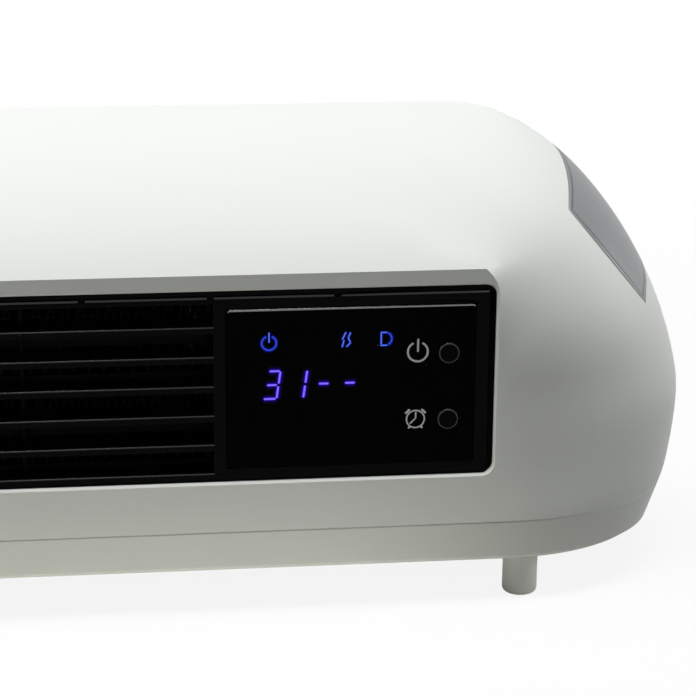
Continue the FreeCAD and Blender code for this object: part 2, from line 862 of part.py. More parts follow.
def make_motor_coil():
    leg = block((core_left, core_right), (axis_y - coil_half_y, axis_y + coil_half_y),
                (axis_z - core_bottom, axis_z - core_window_bottom))
    outside = block((core_left - coil_build, core_right + coil_build),
                    (axis_y - coil_half_y, axis_y + coil_half_y),
                    (axis_z - core_bottom - coil_build, axis_z - core_window_bottom + coil_build))
    return outside.makeFillet(coil_build / 3, outside.Edges).cut(leg)


def make_bracket(face_x, out_x, bush_bore):
    """Bent strap over one face of the core that carries a bush in its raised middle."""
    feet = core_screw_ys()
    turn = math.copysign(bracket_thick, out_x - face_x)
    inner = out_x - turn
    half = bracket_flat
    foot = bracket_width / 2
    points = [(feet[0] - foot, face_x), (axis_y - half, face_x), (axis_y - half, inner),
              (axis_y + half, inner), (axis_y + half, face_x), (feet[1] + foot, face_x),
              (feet[1] + foot, face_x + turn),
              (axis_y + half + bracket_thick, face_x + turn), (axis_y + half + bracket_thick, out_x),
              (axis_y - half - bracket_thick, out_x), (axis_y - half - bracket_thick, face_x + turn),
              (feet[0] - foot, face_x + turn)]
    low = axis_z - bracket_width / 2
    loop = [Vector(x, y, low) for y, x in points]
    strap = Part.Face(Part.makePolygon(loop + loop[:1])).extrude(Vector(0, 0, bracket_width))
    span = (min(face_x, out_x), max(face_x, out_x))
    cuts = [rod_x(axis_y, axis_z, bush_bore, *span)]
    cuts += [rod_x(y, axis_z, screw_diameter / 2 + slip, *span) for y in feet]
    cuts += [rod_x(y, axis_z, screw_diameter / 2 + slip, *span)
             for y in (axis_y - motor_screw_span, axis_y + motor_screw_span)]
    return strap.cut(Part.makeCompound(cuts))


def make_bush(x0):
    bush = rod_x(axis_y, axis_z, bush_radius, x0, x0 + bush_length)
    return bush.cut(rod_x(axis_y, axis_z, shaft_diameter / 2 + running, x0, x0 + bush_length))


def make_bush_mount():
    """Rubber ring that holds the far bush in the blower end plate."""
    x0 = blower_right - end_thick
    ring = rod_x(axis_y, axis_z, mount_radius, x0, x0 + end_thick)
    ring = ring.fuse(rod_x(axis_y, axis_z, mount_radius + wall, blower_right, blower_right + wall))
    return ring.cut(rod_x(axis_y, axis_z, bush_radius, x0, blower_right + wall))


# Power board
def make_power_board():
    board = block((power_left, power_right), (power_front, power_back), (power_z, power_z + board_thick))
    holes = [rod_z(x, y, screw_diameter / 2 + slip, power_z, power_z + board_thick)
             for x, y in board_posts()]
    return board.cut(Part.makeCompound(holes))


def on_board(x, y, size_x, size_y, size_z):
    top = power_z + board_thick
    return block((x, x + size_x), (y, y + size_y), (top, top + size_z))


def make_relay(index):
    x = power_left + board_post_diameter * 2 + relay_pitch * index
    y = power_back - board_post_diameter - relay_width * 2
    return on_board(x, y, relay_length, relay_width, relay_height)


def make_capacitor():
    x = power_right - board_post_diameter * 2 - capacitor_length
    y = power_back - board_post_diameter - capacitor_width
    return on_board(x, y, capacitor_length, capacitor_width, capacitor_height)


def make_terminal_block():
    x = power_right - board_post_diameter * 2 - block_length
    y = power_front + board_post_diameter * 2
    body = on_board(x, y, block_length, block_width, block_height)
    top = power_z + board_thick + block_height
    pitch = block_length / block_ways
    holes = [rod_z(x + pitch * (i + 0.5), y + block_width / 2, screw_diameter / 2, top - boss_bite, top)
             for i in range(block_ways)]
    return body.cut(Part.makeCompound(holes))


def make_display_ribbon():
    """Flat lead from the back of the display board down to a header on the power board."""
    back = board_front + board_thick
    xs = (ribbon_x, ribbon_x + ribbon_width)
    floor = power_z + board_thick
    upper = block(xs, (back, back + header_depth), (lens_bottom, lens_bottom + header_height))
    run_y = back + header_depth / 2
    strip = block(xs, (run_y - ribbon_thick / 2, run_y + ribbon_thick / 2), (floor, lens_bottom))
    bend = block(xs, (run_y - ribbon_thick / 2, power_front + header_depth), (floor, floor + ribbon_thick))
    lower = block(xs, (power_front, power_front + header_depth), (floor, floor + header_height))
    return upper.fuse([strip, bend, lower])


# Fasteners
def screw_along_y(x, z, seat_y, length_y, way):
    """Screw whose head rests on seat_y; way is +1 when its shank runs towards the back."""
    shank = sorted((seat_y, seat_y + way * length_y))
    head = sorted((seat_y - way * head_height, seat_y))
    return rod_y(x, z, screw_diameter / 2, *shank).fuse(rod_y(x, z, head_diameter / 2, *head))


def make_grille_screws():
    shank = ear_thick + boss_bite - slip
    return [screw_along_y(x, z, plate_back + ear_thick, shank, -1) for x, z in front_ears()]


def make_rear_grille_screws():
    shank = ear_thick + boss_bite - slip
    return [screw_along_y(x, z, inner_back - plate_thick - ear_thick, shank, 1) for x, z in rear_ears()]


def make_display_screws():
    shank = board_thick + boss_bite - slip
    return [screw_along_y(x, z, board_front + board_thick, shank, -1) for x, z in display_posts()]


def make_base_screws():
    seat = base_floor + head_height
    screws = []
    for x in (-lug_x, lug_x):
        for y in (-lug_y, lug_y):
            shank = rod_z(x, y, screw_diameter / 2, seat, parting_z + lug_height - wall - slip)
            screws.append(shank.fuse(rod_z(x, y, head_diameter / 2, seat - head_height, seat)))
    return screws


def make_board_screws():
    seat = power_z + board_thick
    screws = []
    for x, y in board_posts():
        shank = rod_z(x, y, screw_diameter / 2, power_z - boss_bite + slip, seat)
        screws.append(shank.fuse(rod_z(x, y, head_diameter / 2, seat, seat + head_height)))
    return screws


def make_motor_screws():
    """Two screws through the end plate into the strap, and two that clamp the straps to the core."""
    screws = []
    plate_inside = blower_left + end_thick
    for y in (axis_y - motor_screw_span, axis_y + motor_screw_span):
        shank = rod_x(y, axis_z, screw_diameter / 2, blower_left - bracket_thick, plate_inside)
        head = rod_x(y, axis_z, head_diameter / 2, plate_inside, plate_inside + head_height)
        screws.append(shank.fuse(head))
    for y in core_screw_ys():
        shank = rod_x(y, axis_z, screw_diameter / 2, core_left - bracket_thick, core_right + bracket_thick)
        tail = core_right + bracket_thick
        screws.append(shank.fuse(rod_x(y, axis_z, head_diameter / 2, tail, tail + head_height)))
    return screws


def make_left_end():
    plate = make_blower_end(blower_left, bush_radius + slip)
    holes = [rod_x(y, axis_z, screw_diameter / 2 + slip, blower_left, blower_left + end_thick)
             for y in (axis_y - motor_screw_span, axis_y + motor_screw_span)]
    return plate.cut(Part.makeCompound(holes))


nodes = {
    "top_cover": make_top_cover(),
    "base_tray": make_base_tray(),
    "outlet_grille": make_outlet_grille(),
    "display_lens": make_display_lens(),
    "power_button": make_button(power_button_z),
    "timer_button": make_button(timer_button_z),
    "power_plunger": make_plunger(power_button_z),
    "timer_plunger": make_plunger(timer_button_z),
    "power_switch": make_switch(power_button_z),
    "timer_switch": make_switch(timer_button_z),
    "display_board": make_display_board(),
    "display_module": make_display_module(),
    "rear_grille": make_rear_grille(),
    "cord_gland": make_cord_gland(),
    "heater_frame": make_heater_frame(),
    "thermal_cutout": make_thermal_cutout(),
    "thermal_fuse": make_thermal_fuse(),
    "blower_end_left": make_left_end(),
    "blower_end_right": make_blower_end(blower_right - end_thick, mount_radius),
    "scroll_plate": make_scroll_plate(),
    "tongue_plate": make_tongue_plate(),
    "fan_wheel": make_fan_wheel(),
    "motor_shaft": make_motor_shaft(),
    "stub_shaft": make_stub_shaft(),
    "motor_rotor": make_motor_rotor(),
    "motor_core": make_motor_core(),
    "motor_coil": make_motor_coil(),
    "motor_bracket_inner": make_bracket(core_right, blower_left, bush_radius),
    "motor_bracket_outer": make_bracket(core_left, outer_bracket_x(), bush_radius),
    "motor_bush_inner": make_bush(blower_left - bush_length),
    "motor_bush_outer": make_bush(outer_bracket_x()),
    "stub_bush": make_bush(blower_right - end_thick),
    "bush_mount": make_bush_mount(),
    "power_board": make_power_board(),
    "capacitor": make_capacitor(),
    "terminal_block": make_terminal_block(),
    "display_ribbon": make_display_ribbon(),
    "grille_screws": Part.makeCompound(make_grille_screws()),
    "rear_grille_screws": Part.makeCompound(make_rear_grille_screws()),
    "display_screws": Part.makeCompound(make_display_screws()),
    "base_screws": Part.makeCompound(make_base_screws()),
    "board_screws": Part.makeCompound(make_board_screws()),
    "motor_screws": Part.makeCompound(make_motor_screws()),
}
for index, name in enumerate(("relay_low", "relay_high")):
    nodes[name] = make_relay(index)
for (x, y), name in zip(foot_places(), ("front_left", "rear_left", "front_right", "rear_right")):
    nodes["foot_" + name] = make_foot(x, y)
bar_levels, pack_levels = heater_stack()
for zs, name in zip(bar_levels, ("lower", "middle", "upper")):
    nodes["heating_bar_" + name] = make_heating_bar(zs)
for index, zs in enumerate(pack_levels):
    nodes["fin_pack_%d" % (index + 1)] = make_fin_pack(zs)

os.makedirs("parts", exist_ok=True)
for name, shape in nodes.items():
    shape.exportStep("parts/%s.step" % name)
    print(name, len(shape.Solids), shape.isValid(), round(shape.Volume))
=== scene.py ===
# %% [markdown]
# # A fan heater, dressed in Blender
# The heater arrives as a finished assembly of named solids at real size, in metres. This lesson gives it
# its surfaces: white moulded plastic, a black outlet panel, a glossy display lens with lit figures, and a
# plain studio. The solids stay exactly where they are, and every new piece is made in the same frame.

# %% Load the frame
import json
import math

import bmesh
import bpy
from mathutils import Matrix, Vector
from mathutils.bvhtree import BVHTree
from mathutils.kdtree import KDTree


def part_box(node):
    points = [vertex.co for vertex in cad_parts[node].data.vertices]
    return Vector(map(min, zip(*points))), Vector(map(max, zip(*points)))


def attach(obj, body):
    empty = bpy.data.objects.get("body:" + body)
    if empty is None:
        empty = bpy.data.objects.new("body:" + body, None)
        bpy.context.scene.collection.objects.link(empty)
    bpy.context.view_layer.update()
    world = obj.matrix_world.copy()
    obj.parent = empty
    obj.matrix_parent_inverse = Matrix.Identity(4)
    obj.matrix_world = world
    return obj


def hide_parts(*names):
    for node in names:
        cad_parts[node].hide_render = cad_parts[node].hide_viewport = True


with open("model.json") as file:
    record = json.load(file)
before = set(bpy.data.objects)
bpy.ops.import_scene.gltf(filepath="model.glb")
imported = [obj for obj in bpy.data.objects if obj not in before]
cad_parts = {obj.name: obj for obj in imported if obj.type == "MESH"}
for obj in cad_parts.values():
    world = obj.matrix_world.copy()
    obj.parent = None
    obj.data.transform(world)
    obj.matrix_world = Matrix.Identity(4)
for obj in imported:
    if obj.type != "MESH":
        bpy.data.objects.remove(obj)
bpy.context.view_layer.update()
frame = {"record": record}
MM = 0.001

# %% [markdown]
# ## The camera
# The picture looks at the display end from a little to the left and above, through a long lens, and is
# turned by half a degree. A camera could be dragged into place by eye. Here its angles, its distance and
# the point in the middle of the picture are written down instead, so that each can be changed by itself.

# %% Camera
IMAGE_SIDE = 696
SENSOR_MM = 36.0
FOCAL_PIXELS = 2409.7
VIEW_LEFT = math.radians(7.397)
VIEW_DOWN = math.radians(17.288)
VIEW_ROLL = math.radians(0.5535)
VIEW_DISTANCE = 987.58 * MM
VIEW_TARGET = Vector((117.19, -65.0, 116.82)) * MM
CLIP_END = 20.0

forward = Vector((math.sin(VIEW_LEFT) * math.cos(VIEW_DOWN),
                  math.cos(VIEW_LEFT) * math.cos(VIEW_DOWN),
                  -math.sin(VIEW_DOWN)))
level_right = Vector((math.cos(VIEW_LEFT), -math.sin(VIEW_LEFT), 0.0))
level_up = level_right.cross(forward)
right = level_right * math.cos(VIEW_ROLL) + level_up * math.sin(VIEW_ROLL)
up = level_up * math.cos(VIEW_ROLL) - level_right * math.sin(VIEW_ROLL)
turn = Matrix((right, up, -forward)).transposed().to_4x4()

camera_data = bpy.data.cameras.new("camera")
camera_data.sensor_width = SENSOR_MM
camera_data.lens = FOCAL_PIXELS / IMAGE_SIDE * SENSOR_MM
camera_data.clip_end = CLIP_END
camera = bpy.data.objects.new("camera", camera_data)
camera.matrix_world = Matrix.Translation(VIEW_TARGET - forward * VIEW_DISTANCE) @ turn
bpy.context.scene.collection.objects.link(camera)
bpy.context.scene.camera = camera
print("lens", round(camera_data.lens, 1), "mm at", [round(v, 3) for v in camera.location])

# %% [markdown]
# ## Helpers for node materials
# A finish is a graph of nodes. It could be wired by hand in the Shader Editor, but a script can be read
# and run again. These helpers make the kinds of node that the finishes share, so that each finish stays a
# short recipe.

# %% Materials, values and links
def new_material(name):
    """An empty node material, its node tree and a Principled shader that feeds its output."""
    material = bpy.data.materials.new(name)
    material.use_nodes = True
    tree = material.node_tree
    tree.nodes.clear()
    output = tree.nodes.new("ShaderNodeOutputMaterial")
    shader = tree.nodes.new("ShaderNodeBsdfPrincipled")
    tree.links.new(shader.outputs["BSDF"], output.inputs["Surface"])
    return material, tree, shader


def link(tree, source, socket, target, target_socket):
    tree.links.new(source.outputs[socket], target.inputs[target_socket])


def set_values(node, values):
    for name, value in values.items():
        node.inputs[name].default_value = value


# %% Nodes that work on values and colours
def math_node(tree, operation, *sources):
    """A Math node; each source is a number or a (node, socket) pair."""
    node = tree.nodes.new("ShaderNodeMath")
    node.operation = operation
    for index, source in enumerate(sources):
        if isinstance(source, tuple):
            link(tree, *source, node, index)
        else:
            node.inputs[index].default_value = source
    return node


def map_range(tree, source, socket, start=(0.0, 1.0), end=(0.0, 1.0)):
    """Stretch a value from the first range to the second, and hold it at the limits."""
    node = tree.nodes.new("ShaderNodeMapRange")
    set_values(node, {"From Min": start[0], "From Max": start[1], "To Min": end[0], "To Max": end[1]})
    link(tree, source, socket, node, "Value")
    return node


def colour_mix(tree, source, socket, first, second):
    """Mix two colours, each a triple or a Mix node, by one value."""
    node = tree.nodes.new("ShaderNodeMix")
    node.data_type = "RGBA"
    link(tree, source, socket, node, "Factor")
    for name, colour in (("A", first), ("B", second)):
        if isinstance(colour, tuple):
            node.inputs[name].default_value = (*colour, 1.0)
        else:
            link(tree, colour, "Result", node, name)
    return node


# %% [markdown]
# ## The floor
# The heater stands on a wide sheet of white paper. A plane would do, but its corners could show in a low
# view, so the sheet is a large disc.

# %% Floor disc
FLOOR_RADIUS = 6.0
FLOOR_SIDES = 64


def new_object(name, mesh):
    piece = bpy.data.objects.new(name, mesh)
    bpy.context.scene.collection.objects.link(piece)
    return piece


disc = bmesh.new()
bmesh.ops.create_circle(disc, cap_ends=True, segments=FLOOR_SIDES, radius=FLOOR_RADIUS)
floor_mesh = bpy.data.meshes.new("floor")
disc.to_mesh(floor_mesh)
disc.free()
floor = new_object("floor", floor_mesh)
print("floor", FLOOR_RADIUS, "m in radius")

# %% [markdown]
# The paper looks white and takes a soft shadow. Lamps strong enough to make it white would be too much
# for the white casing, so the camera, mirrors and glass see paper that glows, with a share of real shadow
# close to the heater. For bounced light the paper is pale near the heater and dark further out, as on a
# table in a dim room. The Light Path node keeps the two apart.

# %% Floor paper
FLOOR_ROUGHNESS = 0.9
FLOOR_SEEN = (0.92, 0.92, 0.92)
FLOOR_NEAR = (0.92, 0.9, 0.81)
FLOOR_FAR = (0.03, 0.03, 0.03)
STRIP_DEPTH = (0.15, 0.19)
STRIP_END = (0.12, 0.26)
SHADOW_REACH = (0.35, 0.75)
SHADOW_SHARE = 0.12
WHITE = (1.0, 1.0, 1.0, 1.0)


def seen_directly(tree):
    """One where the ray comes from the camera, a mirror or glass; nought for diffuse light."""
    path = tree.nodes.new("ShaderNodeLightPath")
    gloss = math_node(tree, "MAXIMUM", (path, "Is Glossy Ray"), (path, "Is Transmission Ray"))
    return math_node(tree, "MAXIMUM", (path, "Is Camera Ray"), (gloss, 0))


def mix_shaders(tree, share, first, second):
    """A Mix Shader from three (node, socket) pairs."""
    node = tree.nodes.new("ShaderNodeMixShader")
    for index, source in enumerate((share, first, second)):
        link(tree, *source, node, index)
    return node


floor_material, tree, shader = new_material("floor_paper")
shader.inputs["Roughness"].default_value = FLOOR_ROUGHNESS
place = tree.nodes.new("ShaderNodeTexCoord")
split = tree.nodes.new("ShaderNodeSeparateXYZ")
link(tree, place, "Object", split, "Vector")
depth = math_node(tree, "ABSOLUTE", (split, "Y"))
in_depth = map_range(tree, depth, 0, start=STRIP_DEPTH)
past_end = map_range(tree, split, "X", start=STRIP_END)
dark = math_node(tree, "MAXIMUM", (in_depth, "Result"), (past_end, "Result"))
direct = seen_directly(tree)
tone = colour_mix(tree, dark, 0, FLOOR_NEAR, FLOOR_FAR)
paper = colour_mix(tree, direct, 0, tone, FLOOR_SEEN)
link(tree, paper, "Result", shader, "Base Color")

glow = tree.nodes.new("ShaderNodeEmission")
set_values(glow, {"Color": WHITE, "Strength": 1.0})
reach = tree.nodes.new("ShaderNodeVectorMath")
reach.operation = "LENGTH"
link(tree, place, "Object", reach, "Vector")
glare = map_range(tree, reach, "Value", start=SHADOW_REACH, end=(1.0 - SHADOW_SHARE, 1.0))
share = math_node(tree, "MULTIPLY", (direct, 0), (glare, "Result"))
output = shader.outputs["BSDF"].links[0].to_node
mix = mix_shaders(tree, (share, 0), (shader, "BSDF"), (glow, "Emission"))
link(tree, mix, "Shader", output, "Surface")
floor_mesh.materials.append(floor_material)
print("paper:", len(tree.nodes), "nodes")

# %% [markdown]
# ## The world
# The room behind the heater is white in the picture but gives almost no light. One colour for both would
# wash out the half shade on the front, so the world is mixed by Light Path as the paper is.

# %% World
WORLD_LIGHT = (0.02, 0.02, 0.02, 1.0)


def background(tree, colour):
    node = tree.nodes.new("ShaderNodeBackground")
    set_values(node, {"Color": colour, "Strength": 1.0})
    return node


world = bpy.data.worlds.new("studio")
bpy.context.scene.world = world
world.use_nodes = True
tree = world.node_tree
tree.nodes.clear()
world_output = tree.nodes.new("ShaderNodeOutputWorld")
dim = background(tree, WORLD_LIGHT)
bright = background(tree, WHITE)
mix = mix_shaders(tree, (seen_directly(tree), 0), (dim, "Background"), (bright, "Background"))
link(tree, mix, "Shader", world_output, "Surface")
bpy.context.scene.view_settings.view_transform = "Standard"
print("world:", len(tree.nodes), "nodes")

# %% [markdown]
# ## Lamps
# Two long soft boxes hang over the heater, one of them a little in front of it, so the sloping top is
# almost white while the upright front gets little light and stays in half shade. A box at the left evens
# out the top, and two weak ones low at the right lift the rounded end. Area lamps are used because small
# lamps would leave hard shadows. Each lamp lists its place, the point that it faces, its two sides and
# its power.

# %% Lamps
MIDDLE = (0.1, 0.0, 0.1)
STRIP = (0.8, 0.2)
SQUARE = (0.5, 0.5)
LAMPS = {
    "front_box": ((-0.1, -0.363, 1.715), (-0.1, -0.03, 0.15), STRIP, 13.5),
    "overhead_box": ((0.7, -0.086, 1.749), (0.7, -0.03, 0.15), STRIP, 9.2),
    "left_box": ((-1.286, 0.0, 0.9), MIDDLE, SQUARE, 11.5),
    "right_box": ((1.665, 0.0, 0.433), MIDDLE, SQUARE, 4.8),
    "corner_box": ((1.163, -1.063, 0.647), MIDDLE, SQUARE, 1.2),
}


def soft_box(name, place, aim, size, power):
    data = bpy.data.lights.new(name, "AREA")
    data.shape = "RECTANGLE"
    data.size, data.size_y = size
    data.energy = power
    lamp = bpy.data.objects.new(name, data)
    place = Vector(place)
    facing = (Vector(aim) - place).to_track_quat("-Z", "Y").to_matrix().to_4x4()
    lamp.matrix_world = Matrix.Translation(place) @ facing
    bpy.context.scene.collection.objects.link(lamp)


for name, facts in LAMPS.items():
    soft_box(name, *facts)
print("lamps:", list(LAMPS))

# %% [markdown]
# ## Moulded grain
# Every plastic here came out of a steel mould, which leaves a very fine grain, slow waves and slow
# changes of gloss. An image texture would need a UV map on every solid. Noise on Object coordinates needs
# none, so one node group makes a height for a Bump node and a slow mottle, and is placed in each plastic
# with its own values.

# %% Group for moulded surfaces
GRAIN_SCALE = 2500.0
WAVE_SCALE = 160.0
WAVE_SHARE = 0.5
MOTTLE_SCALE = 14.0
GRAIN_DETAIL = 2.0
WAVE_DETAIL = 1.0
MOTTLE_DETAIL = 3.0


def new_group(name, inputs, outputs):
    """A shader group with its sockets, its entry and exit nodes and a source of Object coordinates."""
    group = bpy.data.node_groups.new(name, "ShaderNodeTree")
    for label, value in inputs.items():
        socket = group.interface.new_socket(label, in_out="INPUT", socket_type="NodeSocketFloat")
        socket.default_value = value
    for label in outputs:
        group.interface.new_socket(label, in_out="OUTPUT", socket_type="NodeSocketFloat")
    entry = group.nodes.new("NodeGroupInput")
    leave = group.nodes.new("NodeGroupOutput")
    place = group.nodes.new("ShaderNodeTexCoord")
    return group, entry, leave, place


def noise_node(group, entry, scale_socket, place, vector_socket, detail):
    noise = group.nodes.new("ShaderNodeTexNoise")
    noise.inputs["Detail"].default_value = detail
    link(group, place, vector_socket, noise, "Vector")
    link(group, entry, scale_socket, noise, "Scale")
    return noise


def build_moulded_group():
    inputs = {"Grain Scale": GRAIN_SCALE, "Wave Scale": WAVE_SCALE, "Wave Share": WAVE_SHARE,
              "Mottle Scale": MOTTLE_SCALE}
    group, entry, leave, place = new_group("moulded_surface", inputs, ("Height", "Mottle"))
    grain = noise_node(group, entry, "Grain Scale", place, "Object", GRAIN_DETAIL)
    wave = noise_node(group, entry, "Wave Scale", place, "Object", WAVE_DETAIL)
    slow = noise_node(group, entry, "Mottle Scale", place, "Object", MOTTLE_DETAIL)
    swell = math_node(group, "MULTIPLY", (wave, "Fac"), (entry, "Wave Share"))
    height = math_node(group, "ADD", (grain, "Fac"), (swell, 0))
    link(group, height, 0, leave, "Height")
    link(group, slow, "Fac", leave, "Mottle")
    return group


moulded_surface = build_moulded_group()
print(moulded_surface.name, len(moulded_surface.nodes), "nodes")

# %% [markdown]
# ## Dust
# A few rare specks of dust show on the black pieces. Modelled specks would be heavy, so a second group
# marks the heart of each cell of a Voronoi texture, which is a small round spot.

# %% Group for dust
SPECK_SCALE = 80.0
SPECK_SIZE = 0.03


def build_dust_group():
    inputs = {"Speck Scale": SPECK_SCALE, "Speck Size": SPECK_SIZE}
    group, entry, leave, place = new_group("settled_dust", inputs, ("Speck",))
    cells = group.nodes.new("ShaderNodeTexVoronoi")
    link(group, place, "Object", cells, "Vector")
    link(group, entry, "Speck Scale", cells, "Scale")
    speck = math_node(group, "LESS_THAN", (cells, "Distance"), (entry, "Speck Size"))
    link(group, speck, 0, leave, "Speck")
    return group


settled_dust = build_dust_group()
print(settled_dust.name, len(settled_dust.nodes), "nodes")

# %% [markdown]
# ## Rolled streaks
# Sheet metal and bar carry fine streaks along the way they were rolled or drawn. The third group squeezes
# the coordinates along X before they reach the noise, which draws its spots out into streaks.

# %% Group for rolled metal
STREAK_SCALE = 900.0
STREAK_LENGTH = 0.02
STREAK_DETAIL = 3.0


def build_streak_group():
    inputs = {"Streak Scale": STREAK_SCALE, "Streak Length": STREAK_LENGTH}
    group, entry, leave, place = new_group("rolled_streaks", inputs, ("Height", "Streak"))
    split = group.nodes.new("ShaderNodeSeparateXYZ")
    link(group, place, "Object", split, "Vector")
    drawn = math_node(group, "MULTIPLY", (split, "X"), (entry, "Streak Length"))
    join = group.nodes.new("ShaderNodeCombineXYZ")
    link(group, drawn, 0, join, "X")
    link(group, split, "Y", join, "Y")
    link(group, split, "Z", join, "Z")
    streak = noise_node(group, entry, "Streak Scale", join, "Vector", STREAK_DETAIL)
    link(group, streak, "Fac", leave, "Height")
    link(group, streak, "Fac", leave, "Streak")
    return group


rolled_streaks = build_streak_group()
print(rolled_streaks.name, len(rolled_streaks.nodes), "nodes")

# %% [markdown]
# ## Recipes for plastic and metal
# All plastics here differ only in their colours, gloss and grain, and so do the metals, so each family is
# one function. Values that are the same all over are set on the shader itself, because a linked value may
# not survive an export.

# %% Recipes
GRAIN_DEPTH = 3e-6
STREAK_DEPTH = 2e-6


def spaced(values):
    """Sockets have spaces in their names where Python's keywords have underscores."""
    return {name.replace("_", " "): value for name, value in values.items()}


def place_group(tree, group, **values):
    node = tree.nodes.new("ShaderNodeGroup")
    node.node_tree = group
    set_values(node, spaced(values))
    return node


def bump(tree, source, shader, depth):
    node = tree.nodes.new("ShaderNodeBump")
    set_values(node, {"Strength": 1.0, "Distance": depth})
    link(tree, source, "Height", node, "Height")
    link(tree, node, "Normal", shader, "Normal")


def plastic(name, colours, gloss, depth=GRAIN_DEPTH, dust=None, grain=GRAIN_SCALE, waves=WAVE_SHARE,
            **plain):
    """Moulded plastic: two close colours and a range of gloss over a slow mottle, on a fine grain."""
    material, tree, shader = new_material(name)
    set_values(shader, spaced(plain))
    surface = place_group(tree, moulded_surface, Grain_Scale=grain, Wave_Share=waves)
    colour = colour_mix(tree, surface, "Mottle", *colours)
    if dust:
        specks = place_group(tree, settled_dust)
        colour = colour_mix(tree, specks, "Speck", colour, dust)
    link(tree, colour, "Result", shader, "Base Color")
    link(tree, map_range(tree, surface, "Mottle", end=gloss), "Result", shader, "Roughness")
    bump(tree, surface, shader, depth)
    return material


def metal(name, colours, gloss):
    """Rolled or drawn metal: fine streaks along the length in colour, gloss and height."""
    material, tree, shader = new_material(name)
    set_values(shader, {"Metallic": 1.0})
    surface = place_group(tree, rolled_streaks)
    colour = colour_mix(tree, surface, "Streak", *colours)
    link(tree, colour, "Result", shader, "Base Color")
    link(tree, map_range(tree, surface, "Streak", end=gloss), "Result", shader, "Roughness")
    bump(tree, surface, shader, STREAK_DEPTH)
    return material


# %% [markdown]
# ## Plastics on the outside
# The shell is satin white with a breath of green. The frame, the lens and the buttons are black and
# reflect weakly, because the real ones drink in the light. Plain black would look like a hole, so each is
# a near black with its own gloss, and the larger ones carry a little dust.

# %% Outside plastics
DUST = (0.09, 0.09, 0.085)
finishes = {
    "white_shell": plastic(
        "white_shell", ((0.835, 0.862, 0.828), (0.85, 0.878, 0.843)), (0.5, 0.58), Specular_IOR_Level=0.3),
    "grey_plastic": plastic(
        "rear_white", ((0.82, 0.82, 0.81), (0.85, 0.85, 0.84)), (0.36, 0.48)),
    "black_plastic": plastic(
        "black_frame", ((0.0013, 0.0014, 0.0013), (0.0022, 0.0023, 0.0021)), (0.28, 0.44),
        depth=5e-6, dust=DUST, Specular_IOR_Level=0.03),
    "lens_black": plastic(
        "lens_black", ((0.0006, 0.0007, 0.0007), (0.001, 0.0011, 0.0012)), (0.04, 0.1),
        depth=1e-7, dust=DUST, waves=4.0, Specular_IOR_Level=0.01),
    "button_black": plastic(
        "button_black", ((0.0012, 0.0013, 0.0013), (0.002, 0.0021, 0.0021)), (0.18, 0.28),
        Specular_IOR_Level=0.02),
}
print("outside:", list(finishes))

# %% [markdown]
# ## Plastics and metals inside
# Some of the inside shows through the slats and the rear slots, and all of it shows when the heater is
# taken apart. The heater's frame, its fins and the wheel get near black colours as painted shade for the
# dark inside behind the slats, so that bare metal doesn't glint there. The rest keeps the plain colours of
# such pieces.

# %% Inside finishes
finishes |= {
    "switch_plastic": plastic("switch_plastic", ((0.05, 0.05, 0.055), (0.07, 0.07, 0.075)), (0.4, 0.55)),
    "circuit_board": plastic("circuit_board", ((0.012, 0.09, 0.035), (0.02, 0.14, 0.055)), (0.3, 0.42)),
    "ribbon": plastic("ribbon_grey", ((0.4, 0.4, 0.42), (0.46, 0.46, 0.48)), (0.45, 0.6)),
    # The heater frame, the fins and the wheel are near black as painted shade for the dark inside.
    "heater_insulator": plastic("heater_frame", ((0.003, 0.003, 0.003), (0.006, 0.006, 0.006)), (0.5, 0.65),
                                Specular_IOR_Level=0.05),
    "copper_coil": plastic("coil_enamel", ((0.33, 0.11, 0.035), (0.47, 0.18, 0.065)), (0.25, 0.4)),
    "rubber": plastic("mount_rubber", ((0.012, 0.012, 0.012), (0.02, 0.02, 0.02)), (0.6, 0.75)),
    "aluminium": metal("fins_painted_shade", ((0.003, 0.003, 0.003), (0.008, 0.008, 0.008)), (0.4, 0.6)),
    "steel": metal("zinc_steel", ((0.42, 0.42, 0.44), (0.6, 0.6, 0.62)), (0.26, 0.44)),
    "sheet_metal": metal("galvanised", ((0.32, 0.33, 0.34), (0.55, 0.56, 0.57)), (0.35, 0.55)),
    "wheel_metal": metal("wheel_painted_shade", ((0.012, 0.012, 0.012), (0.02, 0.02, 0.02)), (0.4, 0.55)),
    "bronze": metal("sintered_bronze", ((0.45, 0.29, 0.12), (0.55, 0.37, 0.17)), (0.4, 0.55)),
}
print("all finishes:", len(finishes))

# %% [markdown]
# ## Dressing the solids
# Each solid in the record names the slot of its material, so a finish is handed out by slot and no list
# of solids has to be kept here.

# %% Finish for each solid
slot_of = {part["node"]: part["material_slot"] for part in frame["record"]["subparts"]}
for node, slot_name in slot_of.items():
    for holder in bpy.data.objects[node].material_slots:
        holder.material = finishes[slot_name]
print("dressed", len(slot_of), "solids in", len(finishes), "finishes")

# %% [markdown]
# ## Eased edges
# A moulded edge is never sharp: it has a tiny round that catches the light as a thin line, which is
# nearly all that shows of a black slat. A Bevel modifier would stumble over the solid's loose triangles,
# so a copy of the solid is merged, its flat neighbours are joined, and only then are its sharp edges
# rounded.

# %% Softened copies of solids
MERGE_DISTANCE = 0.001 * MM
FLAT_ANGLE = math.radians(0.5)
SHARP_ANGLE = math.radians(35.0)
ROUND_SEGMENTS = 3
RIM_RISE = 0.15


def is_sharp(edge):
    return len(edge.link_faces) == 2 and edge.is_convex and edge.calc_face_angle() > SHARP_ANGLE


def any_edge(edge):
    return True


